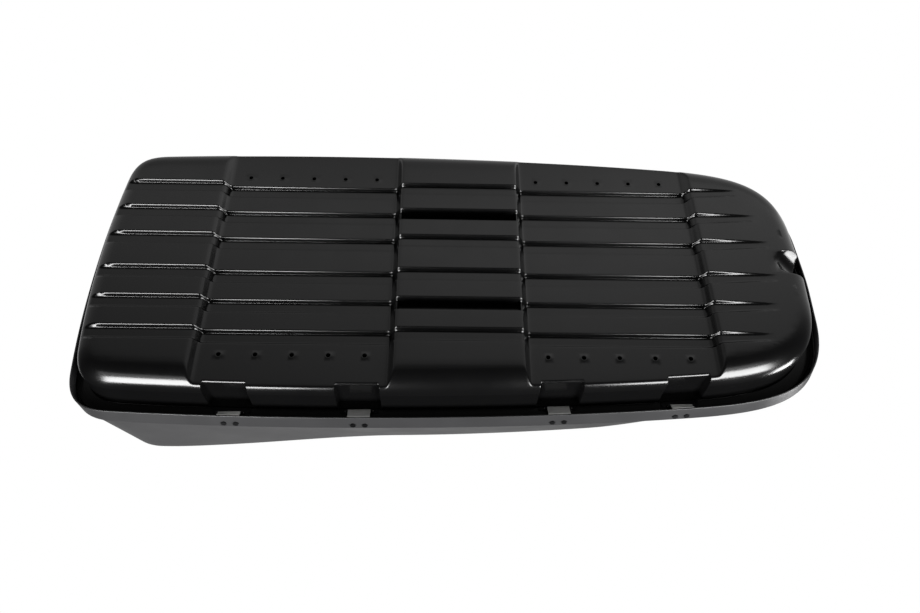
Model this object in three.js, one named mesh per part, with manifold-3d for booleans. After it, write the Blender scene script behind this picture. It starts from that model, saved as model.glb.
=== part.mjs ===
// Roof box: a ribbed base tub and a hinged lid, in millimetres.
// +X points to the nose, +Y to the hinge side, +Z up. The origin is under the middle of the flat underside.
import * as THREE from 'three';
import { mergeVertices } from 'three/addons/utils/BufferGeometryUtils.js';
import Module from 'manifold-3d';

const wasm = await Module();
wasm.setup();

// Overall sizes
const rearLength = 993;
const noseLength = 990;
const halfWidth = 418;
const lidHeight = 398;
const noseLidHeight = 199;
const lidCrown = 8;
const roofRadius = 42;
const roofFallStart = -304;
const roofFallEnd = 1139;
const roofFallPower = 1.156;
const rearSideLean = 0.02;
const middleSideLean = 0.266;
const noseExtraLean = 0.456;
const rearWallLean = 0.27;
const rearWallReach = 353;

// Shells
const baseWall = 4;
const lidWall = 3.5;
const shoulderRadius = 60;
const sideInset = 38;
const rearInset = 36;
const noseInset = 42;
const baseDraft = 4;

// Rim
const skirtBottom = 103;
const skirtHeight = 43;
const skirtFlare = 10;
const skirtStep = 6;
const skirtStepRise = 5;
const flangeBottom = 128;
const flangeThickness = 4;
const flangeGap = 5;
const upstandHeight = 12;

// Crossbar channels in the underside
const channelDepth = 26;
const channelLength = 470;
const channelRamp = 15;
const rearChannelCentre = -405;
const frontChannelCentre = 418;

// Grooves in the underside
const grooveDepth = 12;
const grooveTopWidth = 36;
const grooveFloorWidth = 29;
const centrePlankPitch = 107;
const plankPitch = 89.5;
const slotDepth = 32;
const slotWidth = 30;
const slotEndGap = 3;
const grooveNoseEnds = [848, 828, 796];
const grooveTaper = 165;

// Bolt holes
const boltSpacing = 90;
const boltsInRow = 5;
const boltHoleRadius = 5.5;
const rearBoltCentre = -409;
const frontBoltCentre = 409;
const boltRowHalfWidth = 283;

// Nose scoop
const scoopRadius = 38;
const scoopStart = 900;
const scoopLift = 26;

// Hinges
const hingeStations = [-565, -243, 260, 577];
const hingeSetback = 20;
const hingeDrop = 10;
const pocketWidth = 107;
const pocketDepth = 19;
const pocketTaper = 3;
const pocketTop = 122;
const leafWidth = 98;
const leafThickness = 2;
const leafFront = 3.4;
const leafBackGap = 1;
const strapWidth = 56;
const strapThickness = 2;
const strapHeight = 37;
const strapFootLift = 0.6;
const knuckleRadius = 4.6;
const leafKnuckleWidth = 6;
const pinRadius = 2.5;
const pinProud = 0.9;
const strapRivetSpacing = 30;
const strapRivetHeight = 29;
const strapRivetHead = 7;
const leafRivetSpacing = 86;
const rivetShank = 2.4;
const rivetHead = 5;
const rivetHeadHeight = 2;
const rivetTail = 3.8;
const rivetTailHeight = 1.2;

// Locks
const lockStations = [-600, 0, 560];
const lockHeight = 13;
const bezelRadius = 10.5;
const bezelProud = 5.5;
const neckRadius = 8.6;
const neckDepth = 6;
const barrelRadius = 6.8;
const barrelProud = 6.5;
const barrelDepth = 6.7;
const keySlotWidth = 2;
const keySlotLength = 8;
const keySlotDepth = 6;
const camThickness = 2.6;
const camWidth = 10;
const camReach = 20;
const camTail = 6;
const strikerOffset = 13.5;
const strikerWidth = 18;
const strikerFrom = 8.1;
const strikerLength = 22;
const strikerThickness = 5;

const fitGap = 0.3;
const cutReach = 600;

const black = new THREE.MeshStandardMaterial({ color: 0x141414, roughness: 0.38, metalness: 0 });
const lidBlack = new THREE.MeshStandardMaterial({ color: 0x1b1b1c, roughness: 0.45, metalness: 0 });
const zinc = new THREE.MeshStandardMaterial({ color: 0xb4b6b8, roughness: 0.35, metalness: 1 });
const darkSteel = new THREE.MeshStandardMaterial({ color: 0x2a2a2c, roughness: 0.4, metalness: 0.8 });
const lockBlack = new THREE.MeshStandardMaterial({ color: 0x101010, roughness: 0.5, metalness: 0 });

const part = new THREE.Group();

// Solids and booleans
function solid(geometry) {
  const plain = geometry.index ? geometry.toNonIndexed() : geometry.clone();
  plain.deleteAttribute('normal');
  plain.deleteAttribute('uv');
  const merged = mergeVertices(plain, 1e-4);
  return new wasm.Manifold(new wasm.Mesh({
    numProp: 3,
    vertProperties: new Float32Array(merged.attributes.position.array),
    triVerts: new Uint32Array(merged.index.array),
  }));
}

function cut(body, tools) {
  return tools.reduce((left, tool) => left.subtract(tool), body);
}

function join(pieces) {
  return pieces.reduce((left, piece) => left.add(piece));
}

function addPiece(name, body, material) {
  const mesh = body.getMesh();
  const geometry = new THREE.BufferGeometry();
  const positions = new Float32Array(mesh.numVert * 3);
  for (let i = 0; i < mesh.numVert; i += 1) {
    for (let k = 0; k < 3; k += 1) positions[3 * i + k] = mesh.vertProperties[mesh.numProp * i + k];
  }
  geometry.setAttribute('position', new THREE.BufferAttribute(positions, 3));
  geometry.setIndex(new THREE.BufferAttribute(new Uint32Array(mesh.triVerts), 1));
  geometry.computeVertexNormals();
  const piece = new THREE.Mesh(geometry, material);
  piece.name = name;
  part.add(piece);
}

// A box between two corners, moved by a matrix
function span([x0, y0, z0], [x1, y1, z1], matrix = new THREE.Matrix4()) {
  const geometry = new THREE.BoxGeometry(x1 - x0, y1 - y0, z1 - z0);
  geometry.translate((x0 + x1) / 2, (y0 + y1) / 2, (z0 + z1) / 2);
  return solid(geometry.applyMatrix4(matrix));
}

// A cylinder between two points
function rod(from, to, radius, sides = 16) {
  const axis = new THREE.Vector3().subVectors(to, from);
  const geometry = new THREE.CylinderGeometry(radius, radius, axis.length(), sides);
  const lengthwise = new THREE.Vector3(0, 1, 0);
  geometry.applyQuaternion(new THREE.Quaternion().setFromUnitVectors(lengthwise, axis.normalize()));
  geometry.translate(...new THREE.Vector3().addVectors(from, to).multiplyScalar(0.5));
  return solid(geometry);
}

// A prism with its outline given as [x, z] points and its length along Y
function prismAlongY(outline, yFrom, yTo) {
  const turned = new THREE.ExtrudeGeometry(
    new THREE.Shape(outline.map(([x, z]) => new THREE.Vector2(x, z))),
    { depth: yTo - yFrom, bevelEnabled: false },
  );
  turned.rotateX(Math.PI / 2);
  turned.translate(0, yTo, 0);
  return solid(turned);
}

// Plan outline of the lid skirt's lower edge, counter-clockwise, the same points on both sides
function planOutline() {
  const w = halfWidth;
  const r = rearLength;
  const n = noseLength;
  const bezier = (...p) => new THREE.CubicBezierCurve(...p.map(([x, y]) => new THREE.Vector2(x, y)));
  const rearCorner = [-r + 15, 0.72 * w];
  const rearSide = [-r + 128, 0.968 * w];
  const noseSide = [0.646 * n, 0.913 * w];
  const noseTip = [n - 5, 0.29 * w];
  const side = [
    [bezier([-r, 0], [-r, 0.3 * w], [-r + 6, 0.52 * w], rearCorner), 3],
    [bezier(rearCorner, [-r + 24, 0.9 * w], [-r + 62, 0.96 * w], rearSide), 9],
    [bezier(rearSide, [-0.42 * r, 1.025 * w], [0.19 * n, 1.005 * w], noseSide), 12],
    [bezier(noseSide, [n - 155, 0.868 * w], [n - 14, 0.79 * w], noseTip), 14],
    [bezier(noseTip, [n - 2, 0.14 * w], [n, 0.06 * w], [n, 0]), 3],
  ];
  const upper = [];
  side.forEach(([curve, steps]) => {
    for (let i = 0; i < steps; i += 1) upper.push(curve.getPoint(i / steps));
  });
  upper.push(new THREE.Vector2(n, 0));
  const between = upper.slice(1, -1);
  const lower = between.map((p) => new THREE.Vector2(p.x, -p.y));
  return [upper[0], ...lower, upper[upper.length - 1], ...between.reverse()];
}

const skirtOutline = planOutline();
const baseOutline = skirtOutline.map((p) => new THREE.Vector2(
  p.x * (1 - (p.x < 0 ? rearInset / rearLength : noseInset / noseLength)),
  p.y * (1 - sideInset / halfWidth),
));

// The outline moved out by a distance along its own normals (in, where the distance is negative)
function offset(outline, distance) {
  return outline.map((p, i) => {
    const before = outline[(i + outline.length - 1) % outline.length];
    const after = outline[(i + 1) % outline.length];
    const along = new THREE.Vector2().subVectors(after, before).normalize();
    return new THREE.Vector2(p.x + along.y * distance, p.y - along.x * distance);
  });
}

// Half width of an outline at a station along the box
function halfWidthAt(outline, x) {
  let best = 0;
  outline.forEach((p, i) => {
    const q = outline[(i + 1) % outline.length];
    if ((p.x - x) * (q.x - x) <= 0 && p.x !== q.x) {
      best = Math.max(best, Math.abs(p.y + ((x - p.x) / (q.x - p.x)) * (q.y - p.y)));
    }
  });
  return best;
}

// A closed solid through rings of points; the first and last rings are capped by bands across the box
function loft(rings) {
  const count = rings[0].length;
  const positions = [];
  const push = (...points) => points.forEach((p) => positions.push(p.x, p.y, p.z));
  for (let k = 0; k + 1 < rings.length; k += 1) {
    for (let i = 0; i < count; i += 1) {
      const j = (i + 1) % count;
      const [a, b, c, d] = [rings[k][i], rings[k][j], rings[k + 1][j], rings[k + 1][i]];
      push(a, b, c, a, c, d);
    }
  }
  const cap = (ring, flip) => {
    const put = (a, b, c) => (flip ? push(a, c, b) : push(a, b, c));
    for (let i = 0; i < count / 2; i += 1) {
      const [a, b] = [ring[i], ring[i + 1]];
      const [c, d] = [ring[(count - i - 1) % count], ring[(count - i) % count]];
      if (b !== c) put(a, b, c);
      if (i > 0) put(a, c, d);
    }
  };
  cap(rings[0], true);
  cap(rings[rings.length - 1], false);
  const geometry = new THREE.BufferGeometry();
  geometry.setAttribute('position', new THREE.Float32BufferAttribute(positions, 3));
  return solid(geometry);
}

const ringAt = (outline, z) => outline.map((p) => new THREE.Vector3(p.x, p.y, z));

// Base tub, as an outer body and the hollow inside it
const flangeTop = flangeBottom + flangeThickness;
const upstandTop = flangeTop + upstandHeight;
const flangeOutline = offset(skirtOutline, -lidWall - flangeGap);
const upstandInside = offset(flangeOutline, -baseWall);
const flareAt = (z) => ((z - skirtBottom) / skirtHeight) * skirtFlare;

function tubRings(wall, bottom, top) {
  const radius = shoulderRadius - wall;
  const steps = 6;
  const rings = [];
  for (let i = 0; i <= steps; i += 1) {
    const angle = (i / steps) * (Math.PI / 2);
    const inset = shoulderRadius - radius * Math.sin(angle);
    rings.push(ringAt(offset(baseOutline, -inset), bottom + radius * (1 - Math.cos(angle))));
  }
  rings.push(ringAt(offset(baseOutline, baseDraft - wall), top));
  return rings;
}

const tubOuter = loft([
  ...tubRings(0, 0, flangeBottom),
  ringAt(flangeOutline, flangeBottom),
  ringAt(flangeOutline, upstandTop),
  ringAt(upstandInside, upstandTop),
  ringAt(upstandInside, flangeTop),
]);
const tubHollow = loft(tubRings(baseWall, baseWall, flangeTop + 1));

// Crossbar channel: a trapezoid across the whole width, grown by a wall for the inside
function channelTool(centre, grow) {
  const rampAngle = Math.atan2(channelDepth, channelRamp);
  const side = grow / Math.sin(rampAngle);
  const slope = channelRamp / channelDepth;
  const top = channelDepth + grow;
  const half = channelLength / 2 + side;
  const outline = [
    [centre - half - slope * (channelDepth + 1), -1],
    [centre + half + slope * (channelDepth + 1), -1],
    [centre + half - slope * grow, top],
    [centre - half + slope * grow, top],
  ];
  return prismAlongY(outline, -cutReach, cutReach);
}

// Level of the underside along the box
function undersideBreaks() {
  const half = channelLength / 2;
  const breaks = [];
  [rearChannelCentre, frontChannelCentre].forEach((centre) => {
    breaks.push([centre - half - channelRamp, 0], [centre - half, channelDepth]);
    breaks.push([centre + half, channelDepth], [centre + half + channelRamp, 0]);
  });
  return breaks;
}

const grooveOffsets = [0, 1, 2].map((i) => centrePlankPitch / 2 + i * plankPitch);

// Groove: a trapezoid swept along the underside's level, running out towards the nose
function grooveTool(y, noseEnd, grow) {
  const breaks = undersideBreaks();
  const shift = grow * 0.5;
  const stations = [[-rearLength, 0], ...breaks, [noseEnd - grooveTaper, 0], [noseEnd, 0]];
  const wallSlope = (grooveTopWidth - grooveFloorWidth) / 2 / grooveDepth;
  const rings = stations.map(([x, level], i) => {
    const last = i === stations.length - 1;
    const depth = last ? -0.5 + grow : grooveDepth + grow;
    const margin = 2;
    const narrow = last ? 4 : 0;
    const floor = Math.max(grooveFloorWidth / 2 + grow * 0.6 - narrow, 1);
    const mouth = floor + wallSlope * (depth + margin);
    const stationX = x + (last ? shift : 0);
    return [
      new THREE.Vector3(stationX, y - mouth, level - margin),
      new THREE.Vector3(stationX, y + mouth, level - margin),
      new THREE.Vector3(stationX, y + floor, level + depth),
      new THREE.Vector3(stationX, y - floor, level + depth),
    ];
  });
  return loftBar(rings);
}

// A closed bar through four-cornered sections
function loftBar(rings) {
  const positions = [];
  const push = (...points) => points.forEach((p) => positions.push(p.x, p.y, p.z));
  const corners = rings[0].length;
  for (let k = 0; k + 1 < rings.length; k += 1) {
    for (let i = 0; i < corners; i += 1) {
      const j = (i + 1) % corners;
      push(rings[k][i], rings[k][j], rings[k + 1][j]);
      push(rings[k][i], rings[k + 1][j], rings[k + 1][i]);
    }
  }
  for (let i = 1; i + 1 < corners; i += 1) {
    const first = rings[0];
    const last = rings[rings.length - 1];
    push(first[0], first[i + 1], first[i]);
    push(last[0], last[i], last[i + 1]);
  }
  const geometry = new THREE.BufferGeometry();
  geometry.setAttribute('position', new THREE.Float32BufferAttribute(positions, 3));
  return solid(geometry);
}

// The middle zone's two deep slots
function slotTool(y, grow) {
  const from = rearChannelCentre + channelLength / 2 + channelRamp + slotEndGap - grow;
  const to = frontChannelCentre - channelLength / 2 - channelRamp - slotEndGap + grow;
  const half = slotWidth / 2 + grow;
  return span([from, y - half, -2], [to, y + half, slotDepth + grow]);
}

// Half-round scoop at the nose tip
function scoopTool(grow) {
  const radius = scoopRadius + grow;
  const from = new THREE.Vector3(scoopStart - 60, 0, scoopLift - 60 - scoopRadius);
  const to = new THREE.Vector3(scoopStart + 110, 0, scoopLift + 110 - scoopRadius);
  return rod(from, to, radius, 28);
}

// Pocket in the wall for one hinge, with a steep back and a ceiling below the flange
function pocketTool(x, grow) {
  const slope = pocketTaper / (pocketTop - channelDepth);
  const bottom = -2;
  const ceiling = pocketTop + grow;
  return loftBar([-1, 1].map((side) => {
    const stationX = x + side * (pocketWidth / 2 + grow);
    const back = halfWidthAt(baseOutline, stationX) - pocketDepth - grow * Math.hypot(1, slope);
    const backAt = (z) => back + slope * (z - channelDepth);
    return [
      new THREE.Vector3(stationX, backAt(bottom), bottom),
      new THREE.Vector3(stationX, cutReach, bottom),
      new THREE.Vector3(stationX, cutReach, ceiling),
      new THREE.Vector3(stationX, backAt(ceiling), ceiling),
    ];
  }));
}

function boltHoles() {
  const holes = [];
  [rearBoltCentre, frontBoltCentre].forEach((centre) => {
    [-boltRowHalfWidth, boltRowHalfWidth].forEach((y) => {
      for (let i = 0; i < boltsInRow; i += 1) {
        const x = centre + (i - (boltsInRow - 1) / 2) * boltSpacing;
        const bottom = new THREE.Vector3(x, y, channelDepth - 3);
        const top = new THREE.Vector3(x, y, channelDepth + baseWall + 3);
        holes.push(rod(bottom, top, boltHoleRadius, 14));
      }
    });
  });
  return holes;
}

function undersideTools(grow) {
  const channels = [rearChannelCentre, frontChannelCentre].map((centre) => channelTool(centre, grow));
  const tools = [...channels, scoopTool(grow)];
  grooveOffsets.forEach((y, i) => {
    [-y, y].forEach((side) => tools.push(grooveTool(side, grooveNoseEnds[i], grow)));
  });
  [-grooveOffsets[1], grooveOffsets[1]].forEach((y) => tools.push(slotTool(y, grow)));
  hingeStations.forEach((x) => tools.push(pocketTool(x, grow)));
  return tools;
}

// Lid shell, as an outer body and the hollow inside it
const { lerp, smoothstep } = THREE.MathUtils;

function roofHeight(x) {
  return lerp(lidHeight, noseLidHeight, smoothstep(x, roofFallStart, roofFallEnd) ** roofFallPower);
}

function sideLean(x) {
  const side = lerp(rearSideLean, middleSideLean, smoothstep(x, -0.957 * rearLength, -0.167 * rearLength));
  return side + noseExtraLean * smoothstep(x, 0.386 * noseLength, 0.97 * noseLength);
}

// The rear wall leans in towards the roof
function leanRear(ring) {
  return ring.map((p) => {
    const shift = rearWallLean * Math.max(p.z - skirtBottom - 1, 0);
    const share = smoothstep(-p.x, rearLength - rearWallReach, rearLength);
    return new THREE.Vector3(p.x + shift * share, p.y, p.z);
  });
}

function lidRing(fraction, grow) {
  // fraction 0 is the top of the skirt and 1 the edge of the flat roof
  const start = skirtBottom + skirtHeight + skirtStepRise;
  const edge = offset(skirtOutline, skirtFlare - skirtStep - grow);
  return edge.map((p) => {
    const rise = roofHeight(p.x) - start;
    const round = Math.min(0.42 * rise, roofRadius);
    const straight = rise - round;
    const lean = sideLean(p.x);
    const bendAt = 0.5;
    let inset;
    let z;
    if (fraction <= bendAt) {
      z = start + straight * (fraction / bendAt);
      inset = lean * straight * (fraction / bendAt);
    } else {
      const angle = ((fraction - bendAt) / (1 - bendAt)) * (Math.PI / 2);
      z = start + straight + (round - grow) * Math.sin(angle);
      inset = lean * straight + (round - grow) * (1 - Math.cos(angle)) + lean * 0.5 * round * Math.sin(angle);
    }
    const end = p.x < 0 ? rearLength : noseLength;
    const endInset = p.x < 0 ? inset : inset * 1.25;
    return new THREE.Vector3(
      p.x * (1 - endInset / end),
      p.y * (1 - inset / halfWidth),
      z,
    );
  });
}

// The roof between the two edges, slightly crowned
function crownRing(ring, grow) {
  const rise = lidCrown * 0.7 - grow;
  return ring.map((p) => new THREE.Vector3(p.x * 0.9, p.y * 0.55, roofHeight(p.x * 0.9) + rise));
}

function lidRings(grow, bottom) {
  const fractions = [0, 0.25, 0.5, 0.6, 0.7, 0.8, 0.9, 1];
  const skirtTop = skirtBottom + skirtHeight - Math.max(grow, 0);
  const rings = [
    ringAt(offset(skirtOutline, flareAt(bottom) - grow), bottom),
    ringAt(offset(skirtOutline, flareAt(skirtTop) - grow), skirtTop),
    ...fractions.map((fraction) => lidRing(fraction, grow)),
  ].map(leanRear);
  rings.push(crownRing(rings[rings.length - 1], grow));
  return rings;
}

const lidOuter = loft(lidRings(0, skirtBottom));
const lidHollow = loft(lidRings(lidWall, skirtBottom - 2));
const lidOutside = loft(lidRings(-fitGap, skirtBottom - fitGap));
const strapOutside = loft(lidRings(lidWall + fitGap, skirtBottom - 2));
const strapInside = loft(lidRings(lidWall + fitGap + strapThickness, skirtBottom - 2));

const up = new THREE.Vector3(0, 0, 1);
const down = new THREE.Vector3(0, 0, -1);
const along = (start, direction, distance) => start.clone().addScaledVector(direction, distance);

function drill(place, direction, radius) {
  return rod(along(place, direction, -14), along(place, direction, 14), radius, 12);
}

// A rivet with its head on a face, gripping the sheets behind it
function rivet(place, outward, grip, headRadius = rivetHead) {
  const inner = -grip - fitGap;
  return join([
    rod(along(place, outward, fitGap), along(place, outward, fitGap + rivetHeadHeight), headRadius, 14),
    rod(along(place, outward, fitGap + 0.5), along(place, outward, inner - 0.5), rivetShank, 10),
    rod(along(place, outward, inner), along(place, outward, inner - rivetTailHeight), rivetTail, 12),
  ]);
}

// Hinge line: the straight line nearest to the hinges' places inside the skirt
function fitLine(places) {
  const mean = (pick) => places.reduce((sum, p) => sum + pick(p), 0) / places.length;
  const meanX = mean((p) => p.x);
  const meanY = mean((p) => p.y);
  const slope = mean((p) => (p.x - meanX) * (p.y - meanY)) / mean((p) => (p.x - meanX) ** 2);
  return { meanX, meanY, slope };
}

const hingeLine = fitLine(hingeStations.map((x) => (
  new THREE.Vector2(x, halfWidthAt(skirtOutline, x) - hingeSetback)
)));
const hingeAxisZ = flangeBottom - hingeDrop;
const hingeAxisY = (x) => hingeLine.meanY + hingeLine.slope * (x - hingeLine.meanX);

function strapRivetPlace(x) {
  const step = 8;
  const z = skirtBottom + strapRivetHeight;
  const slope = (halfWidthAt(skirtOutline, x + step) - halfWidthAt(skirtOutline, x - step)) / (2 * step);
  const place = new THREE.Vector3(x, halfWidthAt(skirtOutline, x) + flareAt(z), z);
  const outward = new THREE.Vector3(-slope, 1, -skirtFlare / skirtHeight).normalize();
  return { place, outward };
}

// One hinge, drawn in its own frame: X along the hinge line, Y outwards, Z up
function makeHinge(x) {
  const frame = new THREE.Matrix4().makeRotationZ(Math.atan(hingeLine.slope));
  frame.setPosition(x, hingeAxisY(x), hingeAxisZ);
  const local = (px, py, pz) => new THREE.Vector3(px, py, pz).applyMatrix4(frame);
  const half = strapWidth / 2;
  const knuckleFrom = half + fitGap;
  const knuckleTo = knuckleFrom + leafKnuckleWidth;
  const eye = rod(local(-knuckleTo - 5, 0, 0), local(knuckleTo + 5, 0, 0), pinRadius + fitGap);

  const leafTop = hingeDrop - fitGap;
  const leafLow = leafTop - leafThickness;
  const leafBack = (shift) => (
    halfWidthAt(baseOutline, x + shift) + baseDraft + leafBackGap - hingeAxisY(x + shift)
  );
  const plate = loftBar([-leafWidth / 2, leafWidth / 2].map((shift) => [
    local(shift, leafBack(shift), leafLow),
    local(shift, leafFront, leafLow),
    local(shift, leafFront, leafTop),
    local(shift, leafBack(shift), leafTop),
  ]));
  const webs = [-1, 1].flatMap((side) => {
    const ends = [side * knuckleFrom, side * knuckleTo].sort((a, b) => a - b);
    return [
      span([ends[0], -knuckleRadius, 0], [ends[1], leafFront, leafLow + 1], frame),
      rod(local(ends[0], 0, 0), local(ends[1], 0, 0), knuckleRadius),
    ];
  });
  const leafRivets = [-leafRivetSpacing / 2, leafRivetSpacing / 2].map((shift) => (
    local(shift, (leafBack(shift) + leafFront) / 2, leafLow)
  ));
  const leafHoles = leafRivets.map((place) => drill(place, up, rivetShank + fitGap));
  const leaf = cut(join([plate, ...webs]), [eye, ...leafHoles]);

  const foot = skirtBottom + strapFootLift - hingeAxisZ;
  const strapTop = skirtBottom + strapHeight - hingeAxisZ;
  const armRise = strapThickness * 1.2;
  const arm = loftBar([-half, half].map((shift) => {
    const reach = halfWidthAt(skirtOutline, x + shift) - lidWall - hingeAxisY(x + shift);
    return [
      local(shift, 0, -knuckleRadius),
      local(shift, reach, foot),
      local(shift, reach, foot + armRise),
      local(shift, 0, -knuckleRadius + armRise),
    ];
  })).intersect(strapOutside);
  const legSpan = span([-half, 0, foot], [half, 80, strapTop], frame);
  const leg = strapOutside.subtract(strapInside).intersect(legSpan);
  const barrel = rod(local(-half, 0, 0), local(half, 0, 0), knuckleRadius);
  const strapRivets = [-1, 1].map((side) => strapRivetPlace(x + (side * strapRivetSpacing) / 2));
  const strapHoles = strapRivets.map(({ place, outward }) => drill(place, outward, rivetShank + fitGap));
  const strap = cut(join([arm, leg, barrel]), [eye, ...strapHoles]);
  const pinEnd = knuckleTo + pinProud;
  const pin = rod(local(-pinEnd, 0, 0), local(pinEnd, 0, 0), pinRadius);
  return { leaf, strap, pin, leafRivets, leafHoles, strapRivets, strapHoles };
}

// One lock in the far side's skirt, with the striker its cam turns under
function makeLock(x) {
  const z = skirtBottom + lockHeight;
  const face = -halfWidthAt(skirtOutline, x) - flareAt(z);
  const at = (depth) => new THREE.Vector3(x, face + depth, z);
  const bore = rod(at(-bezelProud - 5), at(neckDepth + 5), barrelRadius + fitGap, 24);
  const bezel = rod(at(-bezelProud), at(bezelProud), bezelRadius, 28).subtract(lidOutside);
  const neck = rod(at(-bezelProud + 1), at(neckDepth), neckRadius, 28);
  const keySlot = span(
    [x - keySlotWidth / 2, face - barrelProud - 1, z - keySlotLength / 2],
    [x + keySlotWidth / 2, face - barrelProud + keySlotDepth, z + keySlotLength / 2],
  );
  const camFrom = face + barrelDepth + fitGap;
  const cam = span(
    [x - camWidth / 2, camFrom, z - camReach],
    [x + camWidth / 2, camFrom + camThickness, z + camTail],
  );
  const strikerX = x - strikerOffset;
  const strikerTop = flangeBottom - fitGap;
  const strikerLow = strikerTop - strikerThickness;
  const strikerBody = span(
    [strikerX - strikerWidth, face + strikerFrom, strikerLow],
    [strikerX, face + strikerFrom + strikerLength, strikerTop],
  );
  const fixingX = strikerX - strikerWidth / 2;
  const fixingY = face + strikerFrom + strikerLength * 0.6;
  const fixing = new THREE.Vector3(fixingX, fixingY, strikerLow);
  const fixingHole = drill(fixing, up, rivetShank + fitGap);
  return {
    housing: bezel.add(neck).subtract(bore),
    barrel: rod(at(-barrelProud), at(barrelDepth), barrelRadius, 24).subtract(keySlot),
    cam,
    striker: strikerBody.subtract(fixingHole),
    fixing,
    fixingHole,
    skirtHole: rod(at(-bezelProud - 5), at(barrelDepth + 3), neckRadius + fitGap, 28),
  };
}

const hinges = hingeStations.map(makeHinge);
const locks = lockStations.map(makeLock);

// The pieces
addPiece('base_shell', cut(tubOuter, [
  ...undersideTools(0),
  cut(tubHollow, undersideTools(baseWall)),
  ...boltHoles(),
  ...hinges.flatMap((hinge) => hinge.leafHoles),
  ...locks.map((lock) => lock.fixingHole),
]), black);
addPiece('lid_shell', cut(lidOuter, [
  lidHollow,
  ...hinges.flatMap((hinge) => hinge.strapHoles),
  ...locks.map((lock) => lock.skirtHole),
]), lidBlack);
hinges.forEach((hinge, i) => {
  const number = i + 1;
  addPiece(`hinge_${number}_leaf`, hinge.leaf, darkSteel);
  addPiece(`hinge_${number}_strap`, hinge.strap, zinc);
  addPiece(`hinge_${number}_pin`, hinge.pin, zinc);
  hinge.strapRivets.forEach(({ place, outward }, k) => {
    const grip = lidWall + fitGap + strapThickness;
    const body = rivet(place, outward, grip, strapRivetHead);
    addPiece(`hinge_${number}_strap_rivet_${k + 1}`, body, darkSteel);
  });
  hinge.leafRivets.forEach((place, k) => {
    const grip = leafThickness + fitGap + flangeThickness;
    addPiece(`hinge_${number}_leaf_rivet_${k + 1}`, rivet(place, down, grip), darkSteel);
  });
});
locks.forEach((lock, i) => {
  const number = i + 1;
  const grip = strikerThickness + fitGap + flangeThickness;
  addPiece(`lock_${number}_housing`, lock.housing, lockBlack);
  addPiece(`lock_${number}_barrel`, lock.barrel, zinc);
  addPiece(`lock_${number}_cam`, lock.cam, zinc);
  addPiece(`lock_${number}_striker`, lock.striker, zinc);
  addPiece(`lock_${number}_striker_rivet`, rivet(lock.fixing, down, grip), darkSteel);
});

export default part;
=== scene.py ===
import math

import bpy
import bmesh
import numpy as np
from mathutils import Matrix, Vector
from mathutils.geometry import delaunay_2d_cdt


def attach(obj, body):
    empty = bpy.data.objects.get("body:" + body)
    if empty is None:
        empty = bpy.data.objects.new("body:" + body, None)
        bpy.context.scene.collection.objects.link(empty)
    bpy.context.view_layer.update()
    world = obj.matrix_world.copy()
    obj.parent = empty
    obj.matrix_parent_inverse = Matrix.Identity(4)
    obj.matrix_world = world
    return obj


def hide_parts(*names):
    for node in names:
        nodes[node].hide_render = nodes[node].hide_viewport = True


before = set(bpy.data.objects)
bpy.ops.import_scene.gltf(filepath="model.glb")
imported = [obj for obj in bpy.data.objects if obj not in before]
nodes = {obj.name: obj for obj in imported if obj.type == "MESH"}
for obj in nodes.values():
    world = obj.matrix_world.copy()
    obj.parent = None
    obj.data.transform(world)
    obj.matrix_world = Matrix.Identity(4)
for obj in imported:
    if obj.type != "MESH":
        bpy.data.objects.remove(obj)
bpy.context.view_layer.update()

# Sizes in millimetres, the same as the solids' apart from CROWN, which is lower here
REAR, NOSE, HALF = 993.0, 990.0, 418.0
LID_TOP, NOSE_TOP, CROWN, ROOF_R = 398.0, 199.0, 5.4, 42.0
ROOF_FALL_START, ROOF_FALL_END, ROOF_FALL_POWER = -304.0, 1139.0, 1.156
REAR_SIDE_LEAN, MIDDLE_SIDE_LEAN, NOSE_EXTRA_LEAN = 0.02, 0.266, 0.456
REAR_LEAN, REAR_REACH = 0.27, 353.0
WALL, LID_WALL = 4.0, 3.5
SHOULDER, SIDE_INSET, REAR_INSET, NOSE_INSET, DRAFT = 60.0, 38.0, 36.0, 42.0, 4.0
SKIRT_Z, SKIRT_H, FLARE, STEP, STEP_RISE = 103.0, 43.0, 10.0, 6.0, 5.0
FLANGE_Z, FLANGE_T, FLANGE_GAP, UPSTAND = 128.0, 4.0, 5.0, 12.0
CHANNEL_D, CHANNEL_L, RAMP = 26.0, 470.0, 15.0
CHANNELS = (-405.0, 418.0)
GROOVES = (53.5, 143.0, 232.5)
GROOVE_ENDS = (848.0, 828.0, 796.0)
GROOVE_D, GROOVE_TAPER = 12.0, 165.0
SLOT_D, SLOT_W, SLOT_GAP = 32.0, 30.0, 3.0
HOLE_R, HOLE_PITCH, HOLE_ROW_X, HOLE_ROW_Y = 5.5, 90.0, 409.0, 283.0
HINGES = (-565.0, -243.0, 260.0, 577.0)
POCKET_W, POCKET_D, POCKET_TAPER, POCKET_TOP = 107.0, 19.0, 3.0, 122.0
SCOOP_X, SCOOP_R = 912.0, 38.0
LOCKS = (-600.0, 0.0, 560.0)
LOCK_Z, LOCK_BORE_R = 116.0, 8.9

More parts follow.
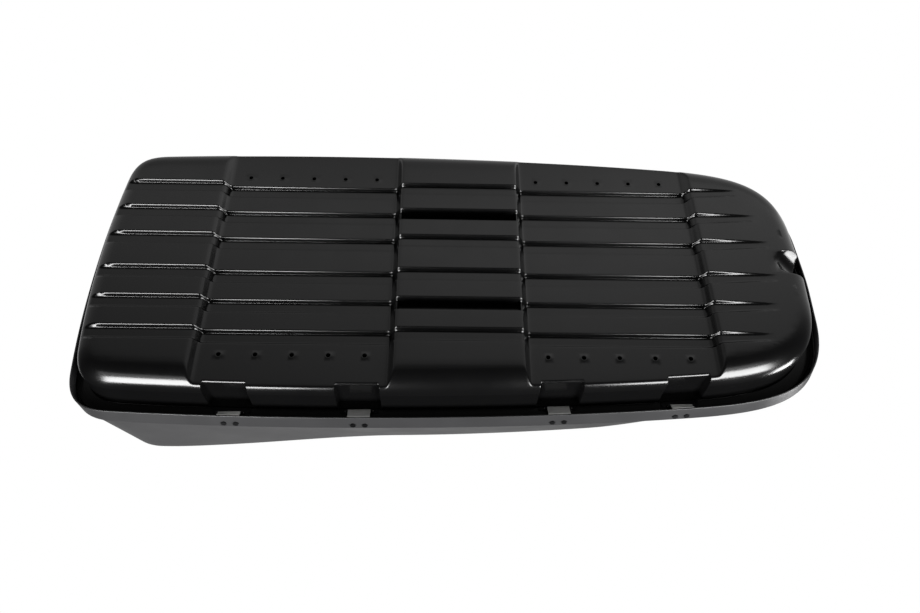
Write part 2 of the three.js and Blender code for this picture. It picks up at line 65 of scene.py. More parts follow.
# Sizes of the rounded edges and of the mesh, in millimetres
GROOVE_FLOOR, GROOVE_WALL, GROOVE_MOUTH_R, GROOVE_FLOOR_R = 15.0, 2.7, 1.6, 3.6
POCKET_EDGE, CUT_EDGE, HOLE_RIM, HOLE_LIP = 6.0, 3.0, 0.9, 0.45
INNER_INSET = 50.0
GROOVE_LINES = (0, 5, 9, 11.4, 12.8, 14.2, 15.4, 16.5, 17.3, 17.9, 18.5, 19.1, 19.7, 22)
COARSE_GROOVE_LINES = (0, 11.4, 15, 18, 19.7)
HOLE_SIDES = 20
OUTER_SCALE, INNER_SCALE = 1.1, 2.2
OUTER_PATCH, INNER_PATCH = 15.0, 27.0
LID_SCALE, LID_INNER_SCALE = 1.0, 1.6

HOLES = [
    (row_x + (i - 2) * HOLE_PITCH, y)
    for row_x in (-HOLE_ROW_X, HOLE_ROW_X)
    for y in (-HOLE_ROW_Y, HOLE_ROW_Y)
    for i in range(5)
]
SLOT_FROM = CHANNELS[0] + CHANNEL_L / 2 + RAMP + SLOT_GAP
SLOT_TO = CHANNELS[1] - CHANNEL_L / 2 - RAMP - SLOT_GAP

# Where the underside's level starts or stops to climb, and the change of slope there
BREAKS = []
for centre in CHANNELS:
    first, last = centre - CHANNEL_L / 2, centre + CHANNEL_L / 2
    BREAKS += [(first - RAMP, 1.0), (first, -1.0), (last, -1.0), (last + RAMP, 1.0)]

# Skirt's section: distance out from its lower edge, and height
SKIRT_SECTION = (
    (-1.6, 103.6), (-1.0, 103.15), (-0.2, 103.1), (0.3, 103.7), (0.65, 104.8), (4.8, 124.0), (9.0, 142.6),
    (9.45, 144.4), (9.1, 145.8), (8.0, 146.7), (5.6, 148.6), (4.6, 149.6), (4.2, 151.5),
)


def smooth_step(x, low, high):
    t = np.clip((x - low) / (high - low), 0, 1)
    return t * t * (3 - 2 * t)


def soft(t, r):
    """0 far below 0 and t far above, rounded over about r."""
    return (t + np.sqrt(t * t + r * r)) / 2


def blend(t, r):
    """0 below -r, t above r, and a parabola between."""
    return np.where(t < -r, 0, np.where(t > r, t, (t + r) ** 2 / (4 * r)))


# Plan outline of the skirt's lower edge
def bezier(p, t):
    p = np.array(p, float)
    t = t[:, None]
    u = 1 - t
    return u ** 3 * p[0] + 3 * u ** 2 * t * p[1] + 3 * u * t ** 2 * p[2] + t ** 3 * p[3]


def plan_loop():
    w, r, n = HALF, REAR, NOSE
    curves = [
        [(-r, 0), (-r, 0.3 * w), (-r + 6, 0.52 * w), (-r + 15, 0.72 * w)],
        [(-r + 15, 0.72 * w), (-r + 24, 0.9 * w), (-r + 62, 0.96 * w), (-r + 128, 0.968 * w)],
        [(-r + 128, 0.968 * w), (-0.42 * r, 1.025 * w), (0.19 * n, 1.005 * w), (0.646 * n, 0.913 * w)],
        [(0.646 * n, 0.913 * w), (n - 155, 0.868 * w), (n - 14, 0.79 * w), (n - 5, 0.29 * w)],
        [(n - 5, 0.29 * w), (n - 2, 0.14 * w), (n, 0.06 * w), (n, 0)],
    ]
    t = np.linspace(0, 1, 800, endpoint=False)
    side = np.vstack([bezier(c, t) for c in curves] + [np.array([[n, 0.0]])])
    side[:, 1] -= 0.25 * np.sin(np.pi * np.clip(side[:, 1] / w, 0, 1) / 2)
    far = side[1:-1] * (1, -1)
    loop = np.vstack([side[::-1], far])
    step = np.r_[0, np.cumsum(np.linalg.norm(np.diff(np.vstack([loop, loop[:1]]), axis=0), axis=1))]
    even = np.linspace(0, step[-1], 9000, endpoint=False)
    closed = np.vstack([loop, loop[:1]])
    out = np.c_[np.interp(even, step, closed[:, 0]), np.interp(even, step, closed[:, 1])]
    kernel = np.hanning(41)
    kernel /= kernel.sum()
    wide = np.vstack([out[-60:], out, out[:60]])
    return np.c_[[np.convolve(wide[:, k], kernel, "same")[60:-60] for k in (0, 1)]].T


SKIRT = plan_loop()
LENGTHWAYS = np.where(SKIRT[:, 0] < 0, 1 - REAR_INSET / REAR, 1 - NOSE_INSET / NOSE)
BASE = SKIRT * np.c_[LENGTHWAYS, np.full(len(SKIRT), 1 - SIDE_INSET / HALF)]


def normals(loop):
    t = np.roll(loop, -3, 0) - np.roll(loop, 3, 0)
    t /= np.linalg.norm(t, axis=1)[:, None]
    return np.c_[t[:, 1], -t[:, 0]]


def width_at(loop, x):
    side = loop[loop[:, 1] >= 0]
    order = np.argsort(side[:, 0])
    return np.interp(x, side[order, 0], side[order, 1])


# Places along a loop, closer together where the shape changes
def pick(loop, spacing):
    length = np.linalg.norm(np.roll(loop, -1, 0) - loop, axis=1)
    dense = length / spacing
    total = np.r_[0, np.cumsum(dense)]
    count = int(math.ceil(total[-1]))
    index = np.interp(np.linspace(0, total[-1], count, endpoint=False), total, np.arange(len(total)))
    low = np.floor(index).astype(int) % len(loop)
    part = (index - np.floor(index))[:, None]
    high = (low + 1) % len(loop)
    n = normals(loop)
    p = loop[low] * (1 - part) + loop[high] * part
    return p, n[low] * (1 - part) + n[high] * part


def near(value, centre, reach, fine, grow):
    return fine + grow * np.maximum(0, np.abs(value - centre) - reach)


def base_spacing(loop, scale):
    x, y = loop.T
    s = np.full(len(loop), 11.0)
    for edge, _ in BREAKS:
        s = np.minimum(s, near(x, edge, 8, 2.0, 0.15))
    corner = (np.abs(y) < HALF * 0.88) | (x < -840) | (x > 760)
    s[corner] = np.minimum(s[corner], 7.0)
    for g in GROOVES:
        rear = x < -800
        s[rear] = np.minimum(s[rear], near(np.abs(y[rear]), g, 20, 2.6, 0.2))
    nose = x > 800
    s[nose] = np.minimum(s[nose], near(np.abs(y[nose]), 0, 46, 2.4, 0.2))
    for h in HINGES:
        for side in (-1, 1):
            m = y > 200
            s[m] = np.minimum(s[m], near(x[m], h + side * POCKET_W / 2, 5, 1.1, 0.2))
    return s * scale


def level(x):
    """Height of the underside along the box, without its grooves and rim."""
    z = np.zeros_like(x)
    slope = CHANNEL_D / RAMP
    for edge, sign in BREAKS:
        z += sign * slope * soft(x - edge, 3.0)
    return z


def hollow(x, y):
    """Depth of the grooves and slots below the underside's level."""
    depth = np.zeros_like(x)
    for g, end in zip(GROOVES, GROOVE_ENDS):
        run = np.clip((x - (end - GROOVE_TAPER)) / GROOVE_TAPER, 0, 1)
        d = GROOVE_D * (1 - run)
        floor = GROOVE_FLOOR - 4.0 * run
        mouth = floor + GROOVE_WALL * (1 - run) + 0.4
        u = np.abs(np.abs(y) - g)
        wall = (blend(mouth - u, GROOVE_MOUTH_R) - blend(floor - u, GROOVE_FLOOR_R)) / (mouth - floor)
        depth = np.maximum(depth, d * wall)
    u = SLOT_W / 2 - np.abs(np.abs(y) - GROOVES[1])
    v = np.minimum(x - SLOT_FROM, SLOT_TO - x)
    inside = smooth_step(np.minimum(u, v), -CUT_EDGE / 2, CUT_EDGE / 2)
    return np.maximum(depth, SLOT_D * inside)


def shoulder(d):
    """Height of the rounded rim at a distance in from the outline."""
    r = SHOULDER
    inner = np.clip(r - d, 0, r)
    return np.where(d < r, r - np.sqrt(r * r - inner * inner), -0.6 * (d - r))


def underside(x, y, d):
    """Height of the outer skin, from its level, its grooves, its rim and the lips of its holes."""
    ground = level(x) + hollow(x, y)
    edge = shoulder(d)
    r = 0.3 + 1.7 * np.clip(ground / 10, 0, 1)
    z = ground + soft(edge - ground, r)
    ring = np.zeros_like(x)
    for hx, hy in HOLES:
        q = np.hypot(x - hx, y - hy)
        ring = np.maximum(ring, np.clip(1 - np.abs(q - HOLE_R - HOLE_RIM) / HOLE_RIM, 0, 1))
    return z - HOLE_LIP * ring


def pockets(p):
    """Presses the hinge pockets into the side wall."""
    slope = POCKET_TAPER / (POCKET_TOP - CHANNEL_D)
    for h in HINGES:
        u = POCKET_W / 2 - np.abs(p[:, 0] - h)
        mask = smooth_step(u, -CUT_EDGE / 2, CUT_EDGE / 2) * (p[:, 2] < POCKET_TOP + 0.05)
        back = width_at(BASE, p[:, 0]) - POCKET_D + slope * (p[:, 2] - CHANNEL_D)
        top = np.clip((p[:, 2] - CHANNEL_D) / POCKET_EDGE, 0, 1)
        back -= POCKET_EDGE * (1 - np.sqrt(1 - (1 - top) ** 2))
        t = soft(p[:, 1] - back, 1.0) - soft(np.full(len(p), -14.0), 1.0)
        p[:, 1] -= np.where(p[:, 1] > 0, mask * np.maximum(t, 0), 0)
    return p


def scoop(p):
    """Presses a half-round dish into the nose tip, its axis at 45 degrees."""
    near_nose = (p[:, 0] > 800) & (np.abs(p[:, 1]) < 60) & (p[:, 2] < 120)
    q = p[near_nose]
    v = (q[:, 2] - (q[:, 0] - SCOOP_X)) / math.sqrt(2)
    beside = np.clip(np.abs(q[:, 1]) - SCOOP_R + 1, 0, 30)
    want = np.sqrt(np.maximum(SCOOP_R ** 2 - q[:, 1] ** 2, 0)) - 6.0 * beside
    push = soft(want - v, 2.5)
    push[want - v < -25] = 0
    q[:, 0] -= push / math.sqrt(2)
    q[:, 2] += push / math.sqrt(2)
    p[near_nose] = q
    return p


def inset_points(points, loop, limit):
    """Distance in from the loop, for points that lie near it."""
    d = np.full(len(points), limit)
    coarse = loop[::8]
    for k in range(0, len(points), 2000):
        block = points[k:k + 2000]
        gap = np.linalg.norm(block[:, None, :] - coarse[None, :, :], axis=2).min(axis=1)
        d[k:k + 2000] = np.minimum(gap, limit)
    return d


def lines(low, high, coarse, marks):
    """Positions from low to high, coarse apart, and finer round each mark (place, reach, fine)."""
    fine = np.linspace(low, high, 12000)
    s = np.full(len(fine), coarse)
    for place, reach, step in marks:
        s = np.minimum(s, near(fine, place, reach, step, 0.25))
    total = np.r_[0, np.cumsum((fine[1] - fine[0]) / s[:-1])]
    return np.interp(np.linspace(0, total[-1], int(total[-1]) + 2), total, fine)


def circle(x, y, r):
    a = np.linspace(0, 2 * math.pi, HOLE_SIDES, endpoint=False)
    return np.c_[x + r * np.cos(a), y + r * np.sin(a)]


def floor_patch(ring, coarse, detail):
    """The underside within the rim: triangles between the ring and the bolt holes."""
    marks = [(edge, 6, 2.4 * detail) for edge, _ in BREAKS]
    marks += [(x, 3, 1.6 * detail) for x in (SLOT_FROM, SLOT_TO)]
    xs = lines(ring[:, 0].min(), ring[:, 0].max(), coarse, marks)
    offsets = GROOVE_LINES if detail == 1 else COARSE_GROOVE_LINES
    fixed = sorted(s * (g + k * o) for g in GROOVES for o in offsets for k in (-1, 1) for s in (-1, 1))
    fixed = np.unique(np.round(fixed, 3))
    gaps = [fixed]
    for a, b in zip(np.r_[ring[:, 1].min(), fixed], np.r_[fixed, ring[:, 1].max()]):
        parts = int((b - a) // (coarse * 1.1))
        gaps.append(a + (b - a) * np.arange(1, parts + 1) / (parts + 1))
    ys = np.unique(np.concatenate(gaps))
    grid = np.array(np.meshgrid(xs, ys)).reshape(2, -1).T
    inside = np.abs(grid[:, 1]) < width_at(ring, grid[:, 0]) - 2.5
    grid = grid[inside]
    gap = inset_points(grid, ring, 50.0)
    grid = grid[gap > 2.2]
    circles = []
    for hx, hy in HOLES:
        grid = grid[np.hypot(grid[:, 0] - hx, grid[:, 1] - hy) > HOLE_R + 3.4]
        circles += [circle(hx, hy, r) for r in (HOLE_R, HOLE_R + HOLE_RIM, HOLE_R + 2.2)]
    points = [ring] + circles + [grid]
    edges = []
    start = 0
    for loop in [ring] + circles:
        n = len(loop)
        edges += [(start + i, start + (i + 1) % n) for i in range(n)]
        start += n
    flat = np.vstack(points)
    out = delaunay_2d_cdt([Vector(p) for p in flat.tolist()], edges, [], 0, 1e-5, False)
    verts = np.array([tuple(v) for v in out[0]])
    faces = np.array([tuple(f) for f in out[2]])
    centre = verts[faces].mean(axis=1)
    keep = np.ones(len(faces), bool)
    for hx, hy in HOLES:
        keep &= np.hypot(centre[:, 0] - hx, centre[:, 1] - hy) > HOLE_R * 0.98
    keep &= np.abs(centre[:, 1]) < width_at(ring, centre[:, 0]) + 0.5
    area = np.cross(verts[faces[:, 1]] - verts[faces[:, 0]], verts[faces[:, 2]] - verts[faces[:, 0]])
    keep &= np.abs(area) > 1e-4
    return verts, faces[keep]


def strip(count, rows, start):
    """Quads between the rows of a closed band."""
    i = np.arange(count)
    j = (i + 1) % count
    faces = []
    for k in range(rows - 1):
        a, b = start + k * count, start + (k + 1) * count
        faces.append(np.c_[a + i, a + j, b + j, b + i])
    return np.vstack(faces)


def shoulder_rows(p, n, angles):
    rows = []
    for a in angles:
        d = SHOULDER * (1 - math.sin(a))
        q = p - n * d
        z = underside(q[:, 0].copy(), q[:, 1].copy(), np.full(len(q), d))
        rows.append(np.c_[q, z])
    return rows


def wall_rows(p, n, heights):
    slope = DRAFT / (FLANGE_Z - SHOULDER)
    return [np.c_[p + n * (slope * (z - SHOULDER)), np.full(len(p), z)] for z in heights]


def make_base():
    """Outer and inner skin of the base, each a floor patch with rows up the wall."""
    first = math.asin(1 - INNER_INSET / SHOULDER)
    angles = np.linspace(first, math.pi / 2, 22)
    p, n = pick(BASE, base_spacing(BASE, OUTER_SCALE))
    rows = shoulder_rows(p, n, angles)
    rows += wall_rows(p, n, [70, 82, 94, 106, 114, 119])
    rows += wall_rows(p, n, [POCKET_TOP - 0.5, POCKET_TOP, POCKET_TOP + 0.4, POCKET_TOP + 2])
    rows = [scoop(pockets(r)) for r in rows]
    wall_top = p + n * DRAFT
    rim = nearest_offset(p, n)
    top = FLANGE_Z + FLANGE_T + UPSTAND
    inside = rim - n * WALL
    rows += [np.c_[q, np.full(len(q), z)] for q, z in (
        (wall_top + n * 0.4, FLANGE_Z - 1.7), (wall_top + n * 1.6, FLANGE_Z - 0.4),
        (wall_top + n * 3.2, FLANGE_Z), (rim - n * 1.0, FLANGE_Z), (rim - n * 0.3, FLANGE_Z + 0.3),
        (rim, FLANGE_Z + 1.0), (rim, top - 1.0), (rim - n * 0.3, top - 0.3), (rim - n * 1.0, top),
        (inside + n * 1.0, top), (inside + n * 0.3, top - 0.3), (inside, top - 1.0),
        (inside, FLANGE_Z + FLANGE_T + 1.0), (inside - n * 1.0, FLANGE_Z + FLANGE_T),
        (p + n * 1.0, FLANGE_Z + FLANGE_T), (p + n * 0.2, FLANGE_Z + FLANGE_T - 0.6),
    )]
    ring = p - n * INNER_INSET
    flat, tris = floor_patch(ring, OUTER_PATCH, 1.0)
    patch = lift(flat)
    verts = np.vstack([patch] + rows)
    outer_quads = strip(len(p), len(rows), len(patch))

    q, m = pick(BASE, base_spacing(BASE, INNER_SCALE))
    inner_rows = shoulder_rows(q, m, np.linspace(first, math.pi / 2, 12))
    inner_rows += wall_rows(q, m, [76, 94, 110, 118, POCKET_TOP, POCKET_TOP + 1])
    inner_rows = [scoop(pockets(r)) for r in inner_rows] + wall_rows(q, m, [FLANGE_Z + 3.4])
    inner_ring = q - m * INNER_INSET
    flat2, tris2 = floor_patch(inner_ring, INNER_PATCH, 1.6)
    patch2 = lift(flat2)
    inner = np.vstack([patch2] + inner_rows)
    quads2 = strip(len(q), len(inner_rows), len(patch2))
    inner = push_in(inner, tris2, quads2, WALL)
    outer_faces = (tris[:, ::-1] if ccw(flat, tris) else tris, outer_quads)
    inner_faces = (tris2 if ccw(flat2, tris2) else tris2[:, ::-1], quads2[:, ::-1])
    return mesh("base_visual", [verts, inner], [outer_faces, inner_faces])


def make_hole_walls():
    tubes = [circle(hx, hy, HOLE_R) for hx, hy in HOLES]
    heights = (CHANNEL_D, CHANNEL_D + WALL)
    verts = np.vstack([np.c_[tube, np.full(HOLE_SIDES, z)] for tube in tubes for z in heights])
    faces = np.vstack([strip(HOLE_SIDES, 2, 2 * HOLE_SIDES * k)[:, ::-1] for k in range(len(tubes))])
    return mesh("hole_walls", [verts], [(faces,)])


def lift(flat):
    d = inset_points(flat, BASE, 75.0)
    z = underside(flat[:, 0].copy(), flat[:, 1].copy(), d)
    return scoop(np.c_[flat, z])


def nearest_offset(p, n):
    """Flange edge: the skirt's outline moved in, met along the base outline's normals."""
    target = SKIRT - normals(SKIRT) * (LID_WALL + FLANGE_GAP)
    out = []
    for k in range(0, len(p), 200):
        block = p[k:k + 200]
        rel = target[None, ::3] - block[:, None]
        along = (rel * n[k:k + 200, None]).sum(axis=2)
        across = np.abs(rel[..., 0] * n[k:k + 200, None, 1] - rel[..., 1] * n[k:k + 200, None, 0])
        across[along < 0] = 1e9
        best = across.argmin(axis=1)
        out.append(along[np.arange(len(block)), best])
    dist = np.concatenate(out)
    wide = np.r_[dist[-6:], dist, dist[:6]]
    dist = np.convolve(wide, np.ones(7) / 7, "same")[6:-6]
    return p + n * dist[:, None]


def ccw(flat, tris):
    a, b, c = flat[tris[:, 0]], flat[tris[:, 1]], flat[tris[:, 2]]
    return np.cross(b - a, c - a).sum() > 0


def push_in(verts, tris, quads, distance):
    """Moves a skin in by a wall, along its own normals."""
    total = np.zeros_like(verts)
    down = tris if not ccw(verts[:, :2], tris) else tris[:, ::-1]
    for f in (down, quads[:, [0, 1, 2]], quads[:, [0, 2, 3]]):
        nrm = np.cross(verts[f[:, 1]] - verts[f[:, 0]], verts[f[:, 2]] - verts[f[:, 0]])
        for k in range(3):
            np.add.at(total, f[:, k], nrm)
    keys = {}
    rounded = np.round(verts * 20).astype(np.int64)
    for i, key in enumerate(map(tuple, rounded)):
        keys.setdefault(key, []).append(i)
    for group in keys.values():
        if len(group) > 1:
            total[group] = total[group].sum(axis=0)
    total /= np.maximum(np.linalg.norm(total, axis=1), 1e-9)[:, None]
    return verts - total * distance


def mesh(name, blocks, faces):
    data = bpy.data.meshes.new(name)
    every = []
    start = 0
    for block, sets in zip(blocks, faces):
        for f in sets:
            every += (f + start).tolist()
        start += len(block)
    data.from_pydata((np.vstack(blocks) / 1000).tolist(), [], every)
    bm = bmesh.new()
    bm.from_mesh(data)
    bmesh.ops.remove_doubles(bm, verts=bm.verts, dist=0.00006)
    bmesh.ops.dissolve_degenerate(bm, edges=bm.edges, dist=0.00001)
    for f in bm.faces:
        f.smooth = True
    bm.to_mesh(data)
    bm.free()
    data.validate()
    data.set_sharp_from_angle(angle=math.radians(50))
    obj = bpy.data.objects.new(name, data)
    bpy.context.scene.collection.objects.link(obj)
    return obj


# Lid
def roof(x):
    fall = smooth_step(x, ROOF_FALL_START, ROOF_FALL_END) ** ROOF_FALL_POWER
    return LID_TOP + (NOSE_TOP - LID_TOP) * fall


def lean(x):
    """Slope of the lid's side wall."""
    more = (MIDDLE_SIDE_LEAN - REAR_SIDE_LEAN) * smooth_step(x, -0.957 * REAR, -0.167 * REAR)
    return REAR_SIDE_LEAN + more + NOSE_EXTRA_LEAN * smooth_step(x, 0.386 * NOSE, 0.97 * NOSE)


def lean_rear(points):
    """The rear wall leans in towards the roof."""
    shift = REAR_LEAN * np.maximum(points[:, 2] - SKIRT_Z - 1, 0)
    points[:, 0] += shift * smooth_step(-points[:, 0], REAR - REAR_REACH, REAR)
    return points


def lid_rows(p, n):
    x = p[:, 0]
    rows = [np.c_[p + n * out, np.full(len(p), z)] for out, z in SKIRT_SECTION]
    start = SKIRT_Z + SKIRT_H + STEP_RISE
    edge = p + n * (FLARE - STEP)
    rise = roof(x) - start
    round_r = np.minimum(0.42 * rise, ROOF_R)
    slope = lean(x)
    phi = np.arctan(slope)
    radius = 1.2 * round_r
    arc = radius * (1 - np.sin(phi))
    straight = rise - arc

    def place(inset, z):
        end = np.where(x < 0, REAR, NOSE)
        end_inset = np.where(x < 0, inset, inset * 1.25)
        return np.c_[edge[:, 0] * (1 - end_inset / end), edge[:, 1] * (1 - inset / HALF), z]

    for f in np.linspace(0.06, 1, 8):
        rows.append(place(slope * straight * f, start + straight * f))
    for f in np.linspace(0, 1, 13)[1:]:
        psi = phi + (math.pi / 2 - phi) * f
        inset = slope * straight + radius * (np.cos(phi) - np.cos(psi))
        rows.append(place(inset, start + straight + radius * (np.sin(psi) - np.sin(phi))))
    rows = [lean_rear(row) for row in rows]
    last = rows[-1]
    for s in (0.985, 0.96, 0.92, 0.86, 0.78, 0.68, 0.56, 0.43, 0.3, 0.18, 0.08, 0.015):
        q = last[:, :2] * s
        edge_drop = (last[:, 2] - roof(last[:, 0])) * s ** 2
        rows.append(np.c_[q, roof(q[:, 0]) + edge_drop + CROWN * (1 - s ** 4)])
    return rows


def lid_spacing(loop, scale):
    x, y = loop.T
    s = np.full(len(loop), 12.0)
    corner = (np.abs(y) < HALF * 0.9) | (x < -840) | (x > 700)
    s[corner] = 7.0
    return s * scale


def cap_faces(start, count, centre):
    """Triangles from the last row to the centre point."""
    i = np.arange(count)
    return np.c_[start + i, start + (i + 1) % count, np.full(count, centre)]


def make_lid():
    p, n = pick(SKIRT, lid_spacing(SKIRT, LID_SCALE))
    rows = lid_rows(p, n)
    verts = np.vstack(rows + [rows[-1].mean(axis=0)[None]])
    quads = strip(len(p), len(rows), 0)
    cap = cap_faces(len(verts) - 1 - len(p), len(p), len(verts) - 1)

    q, m = pick(SKIRT, lid_spacing(SKIRT, LID_INNER_SCALE))
    count = len(q)
    inner = lid_rows(q, m)[4:]
    flat = np.vstack(inner + [inner[-1].mean(axis=0)[None]])
    quads2 = strip(count, len(inner), 0)
    cap2 = cap_faces(len(flat) - 1 - count, count, len(flat) - 1)
    inner_verts = push_in(flat, cap2[:, ::-1], quads2, LID_WALL)
    inner_verts[-1] = np.r_[inner_verts[-1, :2], flat[-1, 2] - LID_WALL]
    rim = np.c_[q - m * 2.9, np.full(count, 103.7)]
    quads_in = np.vstack([strip(count, 2, 0), quads2 + count])[:, ::-1]
    cap_in = (cap2 + count)[:, ::-1]
    edge = np.c_[q - m * 1.55, np.full(count, 103.55)]
    return mesh(
        "lid_visual",
        [verts, np.vstack([rim, inner_verts]), np.vstack([rim, edge])],
        [(quads, cap), (quads_in, cap_in), (strip(count, 2, 0),)],
    )


def bore(obj, cutters):
    for k, cutter in enumerate(cutters):
        mod = obj.modifiers.new(f"bore_{k}", "BOOLEAN")
        mod.operation = "DIFFERENCE"
        mod.solver = "FAST"
        mod.object = cutter
    bpy.context.view_layer.update()
    baked = bpy.data.meshes.new_from_object(obj.evaluated_get(bpy.context.evaluated_depsgraph_get()))
    obj.modifiers.clear()
    obj.data = baked
    for cutter in cutters:
        bpy.data.objects.remove(cutter)


# Materials
def plastic(name, colour, rough, grain, spread=0.05):
    mat = bpy.data.materials.new(name)
    mat.use_nodes = True
    tree = mat.node_tree
    bsdf = tree.nodes["Principled BSDF"]
    bsdf.inputs["Base Color"].default_value = (*colour, 1)
    bsdf.inputs["Roughness"].default_value = rough
    bsdf.inputs["IOR"].default_value = 1.5
    coord = tree.nodes.new("ShaderNodeTexCoord")
    fine = tree.nodes.new("ShaderNodeTexNoise")
    fine.inputs["Scale"].default_value = 700.0
    fine.inputs["Detail"].default_value = 2.0
    bump = tree.nodes.new("ShaderNodeBump")
    bump.inputs["Strength"].default_value = grain
    bump.inputs["Distance"].default_value = 0.0004
    tree.links.new(coord.outputs["Object"], fine.inputs["Vector"])
    tree.links.new(fine.outputs["Fac"], bump.inputs["Height"])
    tree.links.new(bump.outputs["Normal"], bsdf.inputs["Normal"])
    if spread:
        broad = tree.nodes.new("ShaderNodeTexNoise")
        broad.inputs["Scale"].default_value = 9.0
        broad.inputs["Detail"].default_value = 6.0
        ramp = tree.nodes.new("ShaderNodeMapRange")
        ramp.inputs["From Min"].default_value = 0.3
        ramp.inputs["From Max"].default_value = 0.7
        ramp.inputs["To Min"].default_value = rough - spread
        ramp.inputs["To Max"].default_value = rough + spread
        tree.links.new(coord.outputs["Object"], broad.inputs["Vector"])
        tree.links.new(broad.outputs["Fac"], ramp.inputs["Value"])
        tree.links.new(ramp.outputs["Result"], bsdf.inputs["Roughness"])
    return mat


def metal(name, colour, rough):
    mat = plastic(name, colour, rough, 0.12, 0.06)
    mat.node_tree.nodes["Principled BSDF"].inputs["Metallic"].default_value = 1.0
    return mat


base_black = plastic("base_black", (0.003, 0.003, 0.0031), 0.19, 0.02, 0.03)
lid_black = plastic("lid_black", (0.026, 0.026, 0.027), 0.4, 0.05)
lock_black = plastic("lock_black", (0.012, 0.012, 0.012), 0.45, 0.08)
zinc = metal("zinc_plate", (0.78, 0.78, 0.76), 0.45)
black_steel = metal("black_steel", (0.035, 0.035, 0.037), 0.4)


def paint(obj, mat):
    obj.data.materials.clear()
    obj.data.materials.append(mat)


# Pieces
def drill_locks(lid):
    for x in LOCKS:
        bpy.ops.mesh.primitive_cylinder_add(
            vertices=40,
            radius=LOCK_BORE_R / 1000,
            depth=0.05,
            location=(x / 1000, -width_at(SKIRT, x) / 1000, LOCK_Z / 1000),
            rotation=(math.pi / 2, 0, 0),
        )
        bore(lid, [bpy.context.object])


base_obj = make_base()
hole_walls = make_hole_walls()
lid_obj = make_lid()
drill_locks(lid_obj)
for obj, body, node, mat, label in (
    (base_obj, "base", "base_shell", base_black, "base_plastic"),
    (hole_walls, "base", None, base_black, "base_plastic"),
    (lid_obj, "lid", "lid_shell", lid_black, "lid_plastic"),
):
    paint(obj, mat)
    if node:
        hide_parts(node)
    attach(obj, body)

looks = {
    "strap": zinc, "pin": zinc, "barrel": zinc, "cam": zinc, "striker": zinc,
    "leaf": black_steel, "rivet": black_steel, "housing": lock_black,
}
for name, obj in nodes.items():
    if name in ("base_shell", "lid_shell"):
        continue
    kind = "rivet" if "rivet" in name else name.split("_")[2]
    paint(obj, looks[kind])
    bevel = obj.modifiers.new("edge", "BEVEL")
    bevel.width = 0.0005
    bevel.segments = 2
    bevel.limit_method = "ANGLE"
    bevel.angle_limit = math.radians(40)

# Camera: the photograph's, looking up at the underside from the hinge side
# FOCAL and PHOTO_WIDTH are in pixels. The turn is a rotation vector, and the shift is in hole pitches.
FOCAL, PHOTO_WIDTH, SENSOR = 720.0, 920.0, 36.0
CAMERA_TURN = np.array([2.60738491, 0.00584977, 0.03936501])
CAMERA_SHIFT = np.array([-0.10304291, -1.3177946, 21.53287095])

scene = bpy.context.scene
cam_data = bpy.data.cameras.new("camera")
cam_data.sensor_width = SENSOR
cam_data.lens = FOCAL / PHOTO_WIDTH * SENSOR
cam_data.clip_end = 50.0
camera = bpy.data.objects.new("camera", cam_data)
scene.collection.objects.link(camera)
angle = float(np.linalg.norm(CAMERA_TURN))
axis = CAMERA_TURN / angle
cross = np.array([[0, -axis[2], axis[1]], [axis[2], 0, -axis[0]], [-axis[1], axis[0], 0]])
rotation = np.eye(3) + math.sin(angle) * cross + (1 - math.cos(angle)) * cross @ cross
shift = CAMERA_SHIFT * HOLE_PITCH / 1000
flip = np.diag([1.0, -1.0, -1.0])
right, down, forward = rotation @ flip
spot = -rotation.T @ shift * (1, -1, -1) + np.array([0, 0, CHANNEL_D / 1000])
turn = Matrix((right, -down, -forward)).transposed().to_4x4()
camera.matrix_world = Matrix.Translation(Vector(spot)) @ turn
scene.camera = camera


# Lamps
def area(name, place, target, size, power):
    data = bpy.data.lights.new(name, "AREA")
    data.shape = "RECTANGLE"
    data.size, data.size_y = size
    data.energy = power
    obj = bpy.data.objects.new(name, data)
    scene.collection.objects.link(obj)
    way = Vector(target) - Vector(place)
    obj.location = place
    obj.rotation_euler = way.to_track_quat("-Z", "Y").to_euler()
    obj.visible_camera = False
    return obj


area("top", (-0.8, -0.6, 2.6), (-0.3, 0, 0), (5.0, 4.2), 25)
area("left", (-1.8, 3.2, -0.4), (-0.5, 0.2, 0.05), (1.7, 1.4), 170)
area("left_high", (-2.1, 2.8, -1.5), (-0.5, 0.2, 0.1), (1.8, 0.9), 8)
area("right", (2.2, 2.75, -0.35), (0.6, 0.3, 0.02), (1.9, 1.5), 185)
area("right_high", (2.2, 2.6, -1.6), (0.5, 0.2, 0.1), (1.8, 0.9), 9)
area("nose", (2.4, 1.0, 0.95), (0.9, 0, 0.02), (0.6, 0.6), 15)

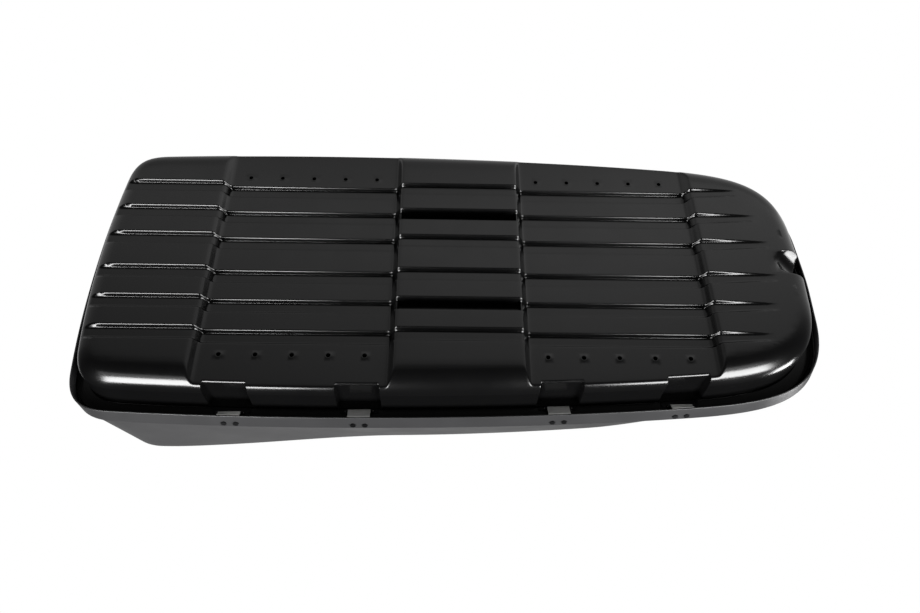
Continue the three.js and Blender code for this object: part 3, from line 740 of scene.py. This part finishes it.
# Surroundings, as brightness by direction along Y: pale behind the box, dark on the camera's side
BACKDROP = (
    (0.0, 0.5), (0.17, 0.55), (0.195, 0.95), (0.25, 0.62),
    (0.29, 0.45), (0.35, 0.15), (0.45, 0.05), (0.55, 0.02),
)
world = bpy.data.worlds.new("world")
scene.world = world
world.use_nodes = True
tree = world.node_tree
tree.nodes.clear()
out = tree.nodes.new("ShaderNodeOutputWorld")
mix = tree.nodes.new("ShaderNodeMixShader")
ray = tree.nodes.new("ShaderNodeLightPath")
coord = tree.nodes.new("ShaderNodeTexCoord")
parts = tree.nodes.new("ShaderNodeSeparateXYZ")
depth = tree.nodes.new("ShaderNodeMapRange")
depth.inputs["From Min"].default_value = -1.0
depth.inputs["From Max"].default_value = 1.0
glow = tree.nodes.new("ShaderNodeValToRGB")
glow.color_ramp.elements[1].position = BACKDROP[-1][0]
for place, value in BACKDROP:
    known = [e for e in glow.color_ramp.elements if abs(e.position - place) < 1e-4]
    stop = known[0] if known else glow.color_ramp.elements.new(place)
    stop.color = (value, value, value, 1)
across = tree.nodes.new("ShaderNodeMapRange")
across.inputs["From Min"].default_value = -0.45
across.inputs["From Max"].default_value = 0.25
across.inputs["To Min"].default_value = 0.65
across.inputs["To Max"].default_value = 1.1
both = tree.nodes.new("ShaderNodeMath")
both.operation = "MULTIPLY"
dim = tree.nodes.new("ShaderNodeBackground")
dim.inputs["Color"].default_value = (1, 1, 1, 1)
white = tree.nodes.new("ShaderNodeBackground")
white.inputs["Color"].default_value = (1, 1, 1, 1)
white.inputs["Strength"].default_value = 1.0
tree.links.new(coord.outputs["Generated"], parts.inputs["Vector"])
tree.links.new(parts.outputs["Y"], depth.inputs["Value"])
tree.links.new(depth.outputs["Result"], glow.inputs["Fac"])
tree.links.new(parts.outputs["X"], across.inputs["Value"])
tree.links.new(glow.outputs["Color"], both.inputs[0])
tree.links.new(across.outputs["Result"], both.inputs[1])
tree.links.new(both.outputs["Value"], dim.inputs["Strength"])
tree.links.new(ray.outputs["Is Camera Ray"], mix.inputs["Fac"])
tree.links.new(dim.outputs["Background"], mix.inputs[1])
tree.links.new(white.outputs["Background"], mix.inputs[2])
tree.links.new(mix.outputs["Shader"], out.inputs["Surface"])

scene.view_settings.view_transform = "Standard"
